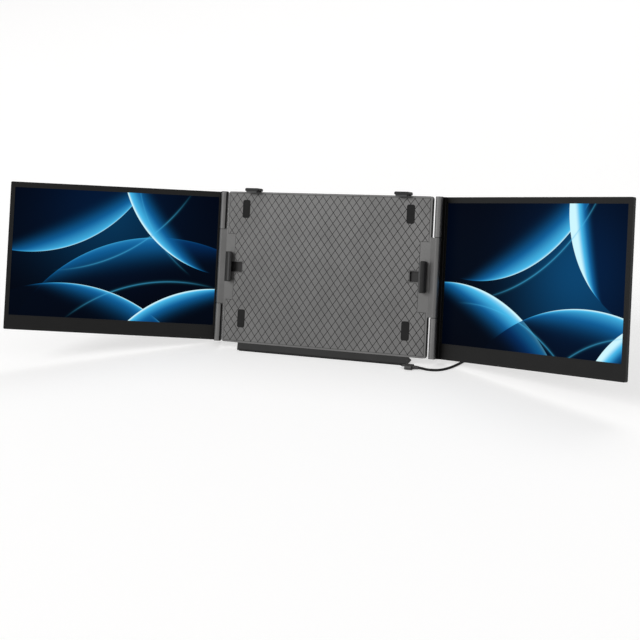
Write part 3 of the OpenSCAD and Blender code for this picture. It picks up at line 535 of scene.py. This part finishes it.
# ---------------------------------------------------------------- mesh helpers

# Points closer than this are one point, in millimetres
NEAR = 0.001


def piece(name, verts, faces, local, body, slot, *materials, face_materials=None, smooth=False):
    """A piece of closed shells from local points and faces, which rides on a body. Its shells
    are all wound the same way, and are turned over together if they face inwards."""
    mesh = bpy.data.meshes.new(name)
    mesh.from_pydata([local @ Vector(v) for v in verts], [], faces)
    for material in materials:
        mesh.materials.append(material)
    if face_materials:
        mesh.polygons.foreach_set("material_index", face_materials)
    mesh.polygons.foreach_set("use_smooth", [smooth] * len(mesh.polygons))
    mesh.validate()
    closed = bmesh.new()
    closed.from_mesh(mesh)
    if closed.calc_volume(signed=True) < 0:
        bmesh.ops.reverse_faces(closed, faces=closed.faces)
    closed.to_mesh(mesh)
    closed.free()
    obj = bpy.data.objects.new(name, mesh)
    bpy.context.scene.collection.objects.link(obj)
    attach(obj, body)


def add_tube(verts, faces, rings, capped=False):
    """Adds a tube through rings of as many points each. A capped one has a face over each end,
    and another one meets its own start."""
    first = len(verts)
    count = len(rings[0])
    last = first + (len(rings) - 1) * count
    verts += [point for ring in rings for point in ring]
    for i in range(len(rings) - 1 if capped else len(rings)):
        a = first + i * count
        b = first + (i + 1) % len(rings) * count
        for k in range(count):
            after = (k + 1) % count
            faces.append((a + k, a + after, b + after, b + k))
    if capped:
        faces += [tuple(range(first, first + count))[::-1], tuple(range(last, last + count))]


def add_box(verts, faces, xs, ys, zs):
    """Adds a box that spans two values along each axis, the lower one first."""
    corners = ((0, 0), (1, 0), (1, 1), (0, 1))
    rings = [[(xs[i], y, zs[k]) for i, k in corners] for y in reversed(ys)]
    add_tube(verts, faces, rings, capped=True)


def full_turn(steps):
    """Headings at even steps once round."""
    return [2 * math.pi * k / steps for k in range(steps)]


def clip(polygon, point, normal):
    """The part of a flat convex polygon on the side of a line that its normal points to."""
    kept = []
    for here, there in zip(polygon, polygon[1:] + polygon[:1]):
        a = (here - point).dot(normal)
        b = (there - point).dot(normal)
        if a >= -NEAR:
            kept.append(here)
        if min(a, b) < -NEAR and max(a, b) > NEAR:
            kept.append(here + (there - here) * (a / (a - b)))
    return kept


def inset(polygon, distance):
    """A flat convex polygon, drawn anticlockwise, with each side moved in. The distance is a
    number, or a function of a side's middle and its direction inwards."""
    kept = polygon
    for here, there in zip(polygon, polygon[1:] + polygon[:1]):
        along = there - here
        if along.length < 10 * NEAR:
            continue
        normal = Vector((-along.y, along.x)).normalized()
        moved = distance((here + there) / 2, normal) if callable(distance) else distance
        kept = clip(kept, here + normal * moved, normal)
        if len(kept) < 3:
            return []
    return kept


def area(polygon):
    """The area of a flat polygon, positive where it is drawn anticlockwise."""
    return sum(a.x * b.y - b.x * a.y for a, b in zip(polygon, polygon[1:] + polygon[:1])) / 2


# ---------------------------------------------------------------- the front panel's lattice

DIAMOND_W = 11.85
DIAMOND_H = 15.05
GROOVE = 0.6
TILE_T = 0.16
TILE_CHAMFER = 0.14
TILE_MIN_AREA = 0.4
GROUND_T = 0.04
SUNK = 0.02
PANEL_MARGIN = 2.5
FIELD_GAP = 0.7
# A side whose direction has a part along one axis smaller than this runs along the other axis
ALONG_AXIS = 0.1
# How far beyond a tile's cut side its neighbour is looked for
BEYOND = 0.5


def lattice_fields():
    """The rectangles of the front panel with the lattice, as low x, high x, low z, high z."""
    edge = FRAME_W / 2 - PANEL_MARGIN
    low, high = PANEL_MARGIN, FRAME_H - PANEL_MARGIN
    slot_low = FRAME_H / 2 - SLOT_HALF_Z - FIELD_GAP
    slot_high = FRAME_H / 2 + SLOT_HALF_Z + FIELD_GAP
    inner = SLOT_INNER_X - FIELD_GAP
    leaf = LEAF_X - FIELD_GAP
    fields = [(-inner, inner, low, high)]
    for x0, x1, z0, z1 in (
        (inner, leaf, low, slot_low), (inner, leaf, slot_high, high),
        (leaf, edge, low, LEAF_Z[0] - FIELD_GAP), (leaf, edge, LEAF_Z[1] + FIELD_GAP, high),
    ):
        fields += [(x0, x1, z0, z1), (-x1, -x0, z0, z1)]
    return fields


def lattice_diamonds():
    """The diamonds of a grid that covers the panel, with one on the panel's middle."""
    half_w, half_h = DIAMOND_W / 2, DIAMOND_H / 2
    columns = math.ceil(FRAME_W / 2 / half_w)
    rows = math.ceil(FRAME_H / 2 / half_h)
    for column in range(-columns, columns + 1):
        for row in range(-rows, rows + 1):
            if (column + row) % 2:
                continue
            x, z = column * half_w, FRAME_H / 2 + row * half_h
            yield [Vector((x - half_w, z)), Vector((x, z - half_h)), Vector((x + half_w, z)),
                   Vector((x, z + half_h))]


def lattice():
    """Raised tiles on a dark ground, one mesh. Tiles that a border between two fields cuts
    keep their cut sides together."""
    verts, faces, finish = [], [], []
    diamonds = [inset(diamond, GROOVE / 2) for diamond in lattice_diamonds()]
    fields = lattice_fields()

    def side_move(slanted, border):
        """How far each side moves in: a slanted one, and a straight one on an outer border."""
        def move(middle, inwards):
            if min(abs(inwards.x), abs(inwards.y)) > ALONG_AXIS:
                return slanted
            beyond = middle - inwards * BEYOND
            shared = any(x0 < beyond.x < x1 and z0 < beyond.y < z1 for x0, x1, z0, z1 in fields)
            return 0 if shared else border
        return move

    for x0, x1, z0, z1 in fields:
        sides = (((x0, z0), (1, 0)), ((x1, z0), (-1, 0)), ((x0, z0), (0, 1)), ((x0, z1), (0, -1)))
        for diamond in diamonds:
            shape = diamond
            for point, normal in sides:
                shape = clip(shape, Vector(point), Vector(normal)) if len(shape) > 2 else []
            shape = inset(shape, side_move(0, GROOVE / 2)) if len(shape) > 2 else []
            top = inset(shape, side_move(TILE_CHAMFER, TILE_CHAMFER)) if len(shape) > 2 else []
            if len(top) < 3 or area(top) < TILE_MIN_AREA:
                continue
            if len(top) != len(shape):
                top = shape
            rings = [[(p.x, SUNK, p.y) for p in shape], [(p.x, -TILE_T, p.y) for p in top]]
            add_tube(verts, faces, rings, capped=True)
        finish += [0] * (len(faces) - len(finish))
        add_box(verts, faces, (x0, x1), (-GROUND_T, SUNK), (z0, z1))
        finish += [1] * (len(faces) - len(finish))
    piece("front_lattice", verts, faces, CENTRE, "centre_frame", "frame_metal", TILE, GROUND,
          face_materials=finish)


# ---------------------------------------------------------------- screws

HEAD_R = 1.9
HEAD_T = 0.7
DRIVE_R = 0.95
LOBES = 6
LOBE_DEPTH = 0.16
SCREW_STEPS = 36
SHELL_SCREW_EDGE = 6.5
BACK_SCREW_X = (-154, -95, 0, 95, 154)
BACK_SCREW_EDGE = 8.5
HUB_SCREW_EDGE = 4.5


def screw_rings():
    """Radius, height and depth of the lobes at each ring of a low button head with a drive."""
    head = ((1, 0), (1, 0.25), (0.93, 0.62), (0.8, 0.86), (0.66, 1))
    drive = ((1, 1), (0.95, 0.2))
    return [(HEAD_R * r, HEAD_T * h, 0) for r, h in head] + [
        (DRIVE_R * r, HEAD_T * h, LOBE_DEPTH) for r, h in drive]


def screws(name, local, body, places, y):
    """Screw heads on a face at depth y, at each place (x, z)."""
    verts, faces = [], []
    for x, z in places:
        rings = []
        for radius, height, lobe in screw_rings():
            ring = []
            for turn in full_turn(SCREW_STEPS):
                r = radius * (1 + lobe * math.cos(LOBES * turn))
                ring.append((x + r * math.cos(turn), y + height, z + r * math.sin(turn)))
            rings.append(ring)
        add_tube(verts, faces, rings, capped=True)
    piece(name, verts, faces, local, body, "steel", BLACK_STEEL)


def all_screws():
    for side, local in SCREENS.items():
        low = EDGE_OUT[side] + SHELL_SCREW_EDGE
        high = EDGE_OUT[side] + SCREEN_W - SHELL_SCREW_EDGE
        places = [(x, z) for x in (low, (low + high) / 2, high)
                  for z in (SHELL_SCREW_EDGE, FRAME_H - SHELL_SCREW_EDGE)]
        screws(side + "_shell_screws", local, side + "_screen", places, FACE_BACK[side] + SCREEN_T)
    places = [(x, z) for x in BACK_SCREW_X for z in (BACK_SCREW_EDGE, FRAME_H - BACK_SCREW_EDGE)]
    screws("back_screws", CENTRE, "centre_frame", places, FRAME_T)
    places = [(x, HUB_Z) for x in (HUB_X[0] + HUB_SCREW_EDGE, HUB_X[1] - HUB_SCREW_EDGE)]
    screws("hub_screws", CENTRE, "centre_frame", places, FRAME_T + HUB_T)


# ---------------------------------------------------------------- painted shade at the hinges: black sides

KNUCKLE_Z = (54.45, 163.35)
# The black bands of painted shade on the front plate's sides
BAND_Y = (0.3, 2.2)
BAND_T = 0.12
BAND_SUNK = 0.05
BAND_END_GAP = 4.2
BAND_KNUCKLE_GAP = 0.2
NECK_X = 4.02
NECK_Y = (2.75, 5.58)
# The black walls of painted shade on the barrels' necks
SHADE_WALL_T = 0.16
SHADE_WALL_GAP = 0.3
BARREL_R = 4.8
# The black strips of painted shade on the barrels' flanks
SHADE_STRIP_T = 0.1
SHADE_STRIP_SUNK = 0.05
SHADE_STRIP_GAP = 0.8
# The painted shade strips' start round the barrel, in degrees, and how far past the frame's plane they end
SHADE_STRIP_FROM = 150
SHADE_STRIP_FORWARD = 25
SHADE_STRIP_STEPS = 18


def beside_knuckle(end_gap, knuckle_gap):
    """The heights below and above the fixed knuckle, less a gap at each end."""
    return ((end_gap, KNUCKLE_Z[0] - knuckle_gap), (KNUCKLE_Z[1] + knuckle_gap, FRAME_H - end_gap))


def painted_side_shade():
    """Painted shade: black strips on the front plate's cut sides, above and below the fixed knuckles."""
    verts, faces = [], []
    near, far = FRAME_W / 2 - BAND_SUNK, FRAME_W / 2 + BAND_T
    for xs in ((-far, -near), (near, far)):
        for zs in beside_knuckle(BAND_END_GAP, BAND_KNUCKLE_GAP):
            add_box(verts, faces, xs, BAND_Y, zs)
    piece("frame_side_painted_shade", verts, faces, CENTRE, "centre_frame", "back_metal", RAIL)


def neck_painted_shade():
    """Painted shade: thin black walls on the necks of the barrels, down to the screen's rail: on both sides of
    the left screen's, and on the side towards the frame of the right screen's."""
    for side, local in SCREENS.items():
        verts, faces = [], []
        for zs in beside_knuckle(SHADE_WALL_GAP, SHADE_WALL_GAP):
            for sign in ((-1, 1) if side == "left" else (-1,)):
                xs = sorted((sign * NECK_X, sign * (NECK_X - SHADE_WALL_T)))
                add_box(verts, faces, xs, NECK_Y, zs)
        piece(side + "_neck_painted_shade", verts, faces, local, side + "_screen", "dark_plastic", RAIL)


def barrel_painted_shade():
    """Painted shade: black strips on the barrels' flanks that face the frame, from the neck to the front."""
    inner, outer = BARREL_R - SHADE_STRIP_SUNK, BARREL_R + SHADE_STRIP_T
    for side, local in SCREENS.items():
        start = math.radians(SHADE_STRIP_FROM)
        end = math.radians(180 + SHADE_STRIP_FORWARD - JOINTS[side + "_screen_fold"]["range_deg"][0])
        verts, faces = [], []
        for z0, z1 in beside_knuckle(SHADE_STRIP_GAP, SHADE_STRIP_GAP):
            section = ((inner, z0), (outer, z0), (outer, z1), (inner, z1))
            rings = []
            for k in range(SHADE_STRIP_STEPS + 1):
                turn = start + (end - start) * k / SHADE_STRIP_STEPS
                rings.append([(r * math.cos(turn), r * math.sin(turn), z) for r, z in section])
            add_tube(verts, faces, rings, capped=True)
        piece(side + "_barrel_painted_shade", verts, faces, local, side + "_screen", "dark_plastic", RAIL)


# ---------------------------------------------------------------- cable

def smooth(route):
    """Points of a Catmull-Rom curve through a route."""
    points = [Vector(p) for p in route]
    made = []
    for i in range(len(points) - 1):
        a = points[max(i - 1, 0)]
        b = points[i]
        c = points[i + 1]
        d = points[min(i + 2, len(points) - 1)]
        for k in range(ROUTE_STEPS):
            t = k / ROUTE_STEPS
            made.append(0.5 * (2 * b + (c - a) * t + (2 * a - 5 * b + 4 * c - d) * t ** 2
                               + (3 * b - a - 3 * c + d) * t ** 3))
    return made + [points[-1]]


def coil_points():
    """In along the lower layer, up, and out along the upper one, clockwise from above."""
    made = []
    count = round(COIL_TURNS * COIL_STEPS)
    for k in range(1, count):
        share = k / count
        turn = math.radians(COIL_START_DEG) - 2 * math.pi * COIL_TURNS * share
        inward = 1 - abs(2 * share - 1)
        climb = min(max((share - CLIMB_FROM) / CLIMB_SHARE, 0), 1)
        radius = COIL_R_OUT + (COIL_R_IN - COIL_R_OUT) * inward
        height = CORD_D / 2 + CORD_D * climb ** 2 * (3 - 2 * climb)
        made.append(Vector((COIL_CENTRE[0] + radius * math.cos(turn),
                            COIL_CENTRE[1] + radius * math.sin(turn), height)))
    return made


def cable():
    """The whole cord in one run, and its length in metres."""
    points = smooth(HUB_ROUTE) + coil_points() + smooth(DESK_ROUTE)
    length = sum((b - a).length for a, b in zip(points, points[1:])) * MM
    curve = bpy.data.curves.new("cable", "CURVE")
    curve.dimensions = "3D"
    curve.bevel_depth = CORD_D / 2 * MM
    curve.bevel_resolution = 4
    curve.use_fill_caps = True
    spline = curve.splines.new("POLY")
    spline.points.add(len(points) - 1)
    for point, place in zip(spline.points, points):
        point.co = (*(place * MM), 1)
    spline.use_smooth = True
    curve.materials.append(FINISHES["cable"])
    obj = bpy.data.objects.new("cable", curve)
    bpy.context.scene.collection.objects.link(obj)
    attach(obj, "centre_frame")
    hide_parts("cable_hub_run", "cable_coil", "cable_desk_run")
    return obj, length


# ---------------------------------------------------------------- what is on the cable

PLUG_L = 10
PLUG_T = 6.2
TIP_L = 6.4
TIP_W = 8.16
TIP_T = 2.46
TIP_WALL = 0.5
TIP_STEPS = 8
SKIN = 0.04
RELIEF_L = 9
RELIEF_R = (2.6, 1.9)
RIBS = 4
RIB_R = 0.4
RIB_W = 1.0
RIB_SIDES = 8
RIB_STEPS = 32
# The middle of the first rib and the room past the last one, in shares of the ribs' pitch
RIB_FIRST = 0.7
RIB_REST = 0.4
TIE_W = 8
TIE_T = 0.6
TIE_CORNER_R = 2.2
TIE_STEPS = 6
TIE_TURN = 205


def moved(local, x, y, z):
    return local @ Matrix.Translation((x, y, z))


def rounded_outline(width, height, radius, steps):
    """Anticlockwise points of a rounded rectangle about the origin."""
    points = []
    for corner, (sx, sy) in enumerate(((1, 1), (-1, 1), (-1, -1), (1, -1))):
        for k in range(steps + 1):
            turn = math.pi / 2 * (corner + k / steps)
            x = sx * (width / 2 - radius) + radius * math.cos(turn)
            y = sy * (height / 2 - radius) + radius * math.sin(turn)
            if all(math.dist((x, y), made) > NEAR for made in points):
                points.append((x, y))
    return points


def tip_sleeve(local):
    """The drawn steel shell of the free plug's tip, open at its mouth."""
    outer = rounded_outline(TIP_W + 2 * SKIN, TIP_T + 2 * SKIN, TIP_T / 2 + SKIN, TIP_STEPS)
    inner_w, inner_t = TIP_W - 2 * TIP_WALL + SKIN, TIP_T - 2 * TIP_WALL + SKIN
    inner = rounded_outline(inner_w, inner_t, inner_t / 2, TIP_STEPS)
    sections = ((outer, TIP_L), (outer, -SKIN), (inner, -SKIN), (inner, TIP_L))
    verts, faces = [], []
    add_tube(verts, faces, [[(x, y, z) for y, z in outline] for outline, x in sections])
    piece("plug_tip_sleeve", verts, faces, local, "centre_frame", "steel", FINISHES["steel"])


def relief_ribs(name, local):
    """Round ribs on a tapered strain relief that starts at the origin and runs along x."""
    verts, faces = [], []
    for rib in range(RIBS):
        middle = RELIEF_L * (rib + RIB_FIRST) / (RIBS + RIB_REST)
        core = RELIEF_R[0] + (RELIEF_R[1] - RELIEF_R[0]) * middle / RELIEF_L
        rings = []
        for turn in full_turn(RIB_SIDES):
            x = middle + RIB_W / 2 * math.cos(turn)
            radius = core + RIB_R * math.sin(turn)
            rings.append([(x, radius * math.cos(around), radius * math.sin(around))
                          for around in full_turn(RIB_STEPS)])
        add_tube(verts, faces, rings)
    piece(name, verts, faces, local, "centre_frame", "rubber", PLUG, smooth=True)


def coil_tie(local):
    """A woven strap round the coil's turns, its two layers in one closed band."""
    low = COIL_R_IN - CORD_D / 2
    high = COIL_R_OUT + CORD_D / 2
    width, height = high - low + 2 * TIE_T, 2 * CORD_D + TIE_T
    middle = (low + high) / 2
    outer = rounded_outline(width, height, TIE_CORNER_R, TIE_STEPS)
    inner = rounded_outline(width - 2 * TIE_T, height - 2 * TIE_T, TIE_CORNER_R - TIE_T, TIE_STEPS)
    sections = ((outer, TIE_W / 2), (outer, -TIE_W / 2), (inner, -TIE_W / 2), (inner, TIE_W / 2))
    verts, faces = [], []
    add_tube(verts, faces, [[(middle + x, y, height / 2 + z) for x, z in outline]
                            for outline, y in sections])
    piece("coil_tie", verts, faces, local, "centre_frame", "rubber", WOVEN)


def cable_fittings():
    end_x, end_y, _ = DESK_ROUTE[-1]
    middle = PLUG_T / 2
    desk = Matrix.Scale(MM, 4)
    tip_sleeve(moved(desk, end_x - RELIEF_L - PLUG_L - TIP_L, end_y, middle))
    relief_ribs("free_plug_ribs", moved(desk, end_x - RELIEF_L, end_y, middle))
    relief_ribs("hub_plug_ribs",
                moved(CENTRE, HUB_EXIT[0] - RELIEF_L, FRAME_T + PAD_T + middle, HUB_Z))
    coil_tie(moved(desk, *COIL_CENTRE, 0) @ Matrix.Rotation(math.radians(TIE_TURN), 4, "Z"))


# ---------------------------------------------------------------- camera, floor and lights

def make_camera():
    data = bpy.data.cameras.new("camera")
    data.sensor_width = 36
    data.lens = FOCAL_PX / IMAGE_PX * data.sensor_width
    data.shift_x = (IMAGE_PX / 2 - PRINCIPAL_X_PX) / IMAGE_PX
    data.shift_y = (PRINCIPAL_Y_PX - IMAGE_PX / 2) / IMAGE_PX
    data.clip_end = 50
    camera = bpy.data.objects.new("camera", data)
    yaw = Matrix.Rotation(math.radians(CAMERA_YAW), 4, "Z")
    pitch = Matrix.Rotation(math.radians(90 - CAMERA_PITCH), 4, "X")
    roll = Matrix.Rotation(-math.radians(CAMERA_ROLL), 4, "Z")
    camera.matrix_world = Matrix.Translation(CAMERA_AT) @ yaw @ pitch @ roll
    bpy.context.scene.collection.objects.link(camera)
    bpy.context.scene.camera = camera


FLOOR_SIZE = 30
FLOOR_LEVEL = 0.62
FLOOR_GLOW = 0.455
FLOOR_TINT = (1, 0.992, 0.985, 1)
WORLD_LIGHT = 0.42
# Each softbox's place, the point that it aims at, its width and height, and its power
SOFTBOXES = {
    "key": ((-7.2, -7.8, 9.0), (0, 0, 0.1), (6.0, 6.0), 720),
    "fill": ((7.8, -4.8, 7.2), (0.1, 0, 0.1), (4.8, 4.8), 72),
    "top": ((0.3, 5.4, 8.4), (0.1, 0, 0.1), (6.0, 4.0), 240),
}


def seen_directly(tree):
    """1 for a ray from the camera, or off or through the object's gloss and glass, else 0."""
    rays = tree.nodes.new("ShaderNodeLightPath")
    total = rays.outputs["Is Camera Ray"]
    for kind in ("Is Glossy Ray", "Is Transmission Ray"):
        either = tree.nodes.new("ShaderNodeMath")
        either.operation = "MAXIMUM"
        tree.links.new(total, either.inputs[0])
        tree.links.new(rays.outputs[kind], either.inputs[1])
        total = either.outputs[0]
    return total


def make_floor():
    """A white floor: part of its white is its own, so that the shadows on it stay pale."""
    bpy.ops.mesh.primitive_plane_add(size=FLOOR_SIZE)
    floor = bpy.context.object
    floor.name = "floor"
    n = Nodes("floor")
    n.set(
        Base_Color=grey(FLOOR_LEVEL),
        Roughness=0.9,
        Specular_IOR_Level=0.1,
        Emission_Color=FLOOR_TINT,
        Emission_Strength=n.math("MULTIPLY", seen_directly(n.tree), FLOOR_GLOW),
    )
    floor.data.materials.append(n.material)


def make_world():
    """Even light from all round, white where it is seen."""
    world = bpy.data.worlds.new("studio")
    bpy.context.scene.world = world
    world.use_nodes = True
    tree = world.node_tree
    tree.nodes.clear()
    lit = tree.nodes.new("ShaderNodeBackground")
    lit.inputs["Strength"].default_value = WORLD_LIGHT
    seen = tree.nodes.new("ShaderNodeBackground")
    seen.inputs["Strength"].default_value = 1
    for node in (lit, seen):
        node.inputs["Color"].default_value = (1, 1, 1, 1)
    mixer = tree.nodes.new("ShaderNodeMixShader")
    tree.links.new(seen_directly(tree), mixer.inputs[0])
    tree.links.new(lit.outputs[0], mixer.inputs[1])
    tree.links.new(seen.outputs[0], mixer.inputs[2])
    output = tree.nodes.new("ShaderNodeOutputWorld")
    tree.links.new(mixer.outputs[0], output.inputs["Surface"])


def make_lights():
    for name, (place, aim, size, power) in SOFTBOXES.items():
        data = bpy.data.lights.new(name, "AREA")
        data.shape = "RECTANGLE"
        data.size, data.size_y = size
        data.energy = power
        light = bpy.data.objects.new(name, data)
        light.location = place
        light.rotation_euler = (Vector(aim) - Vector(place)).to_track_quat("-Z", "Y").to_euler()
        bpy.context.scene.collection.objects.link(light)


# ---------------------------------------------------------------- the whole scene

def finish_nodes():
    """Gives each of the part's own nodes its finish: its own, its slot's, or the picture."""
    slots = {part["node"]: part["material_slot"] for part in RECORD["subparts"]}
    for name, obj in frame["nodes"].items():
        material = NODE_FINISHES.get(name) or FINISHES[slots[name]] or wallpaper(name.split("_")[0])
        for held in obj.material_slots:
            held.material = material


bpy.context.scene.view_settings.view_transform = "Standard"
make_camera()
cord, cord_length = cable()
cable_fittings()
finish_nodes()
lattice()
all_screws()
painted_side_shade()
neck_painted_shade()
barrel_painted_shade()
make_floor()
make_world()
make_lights()
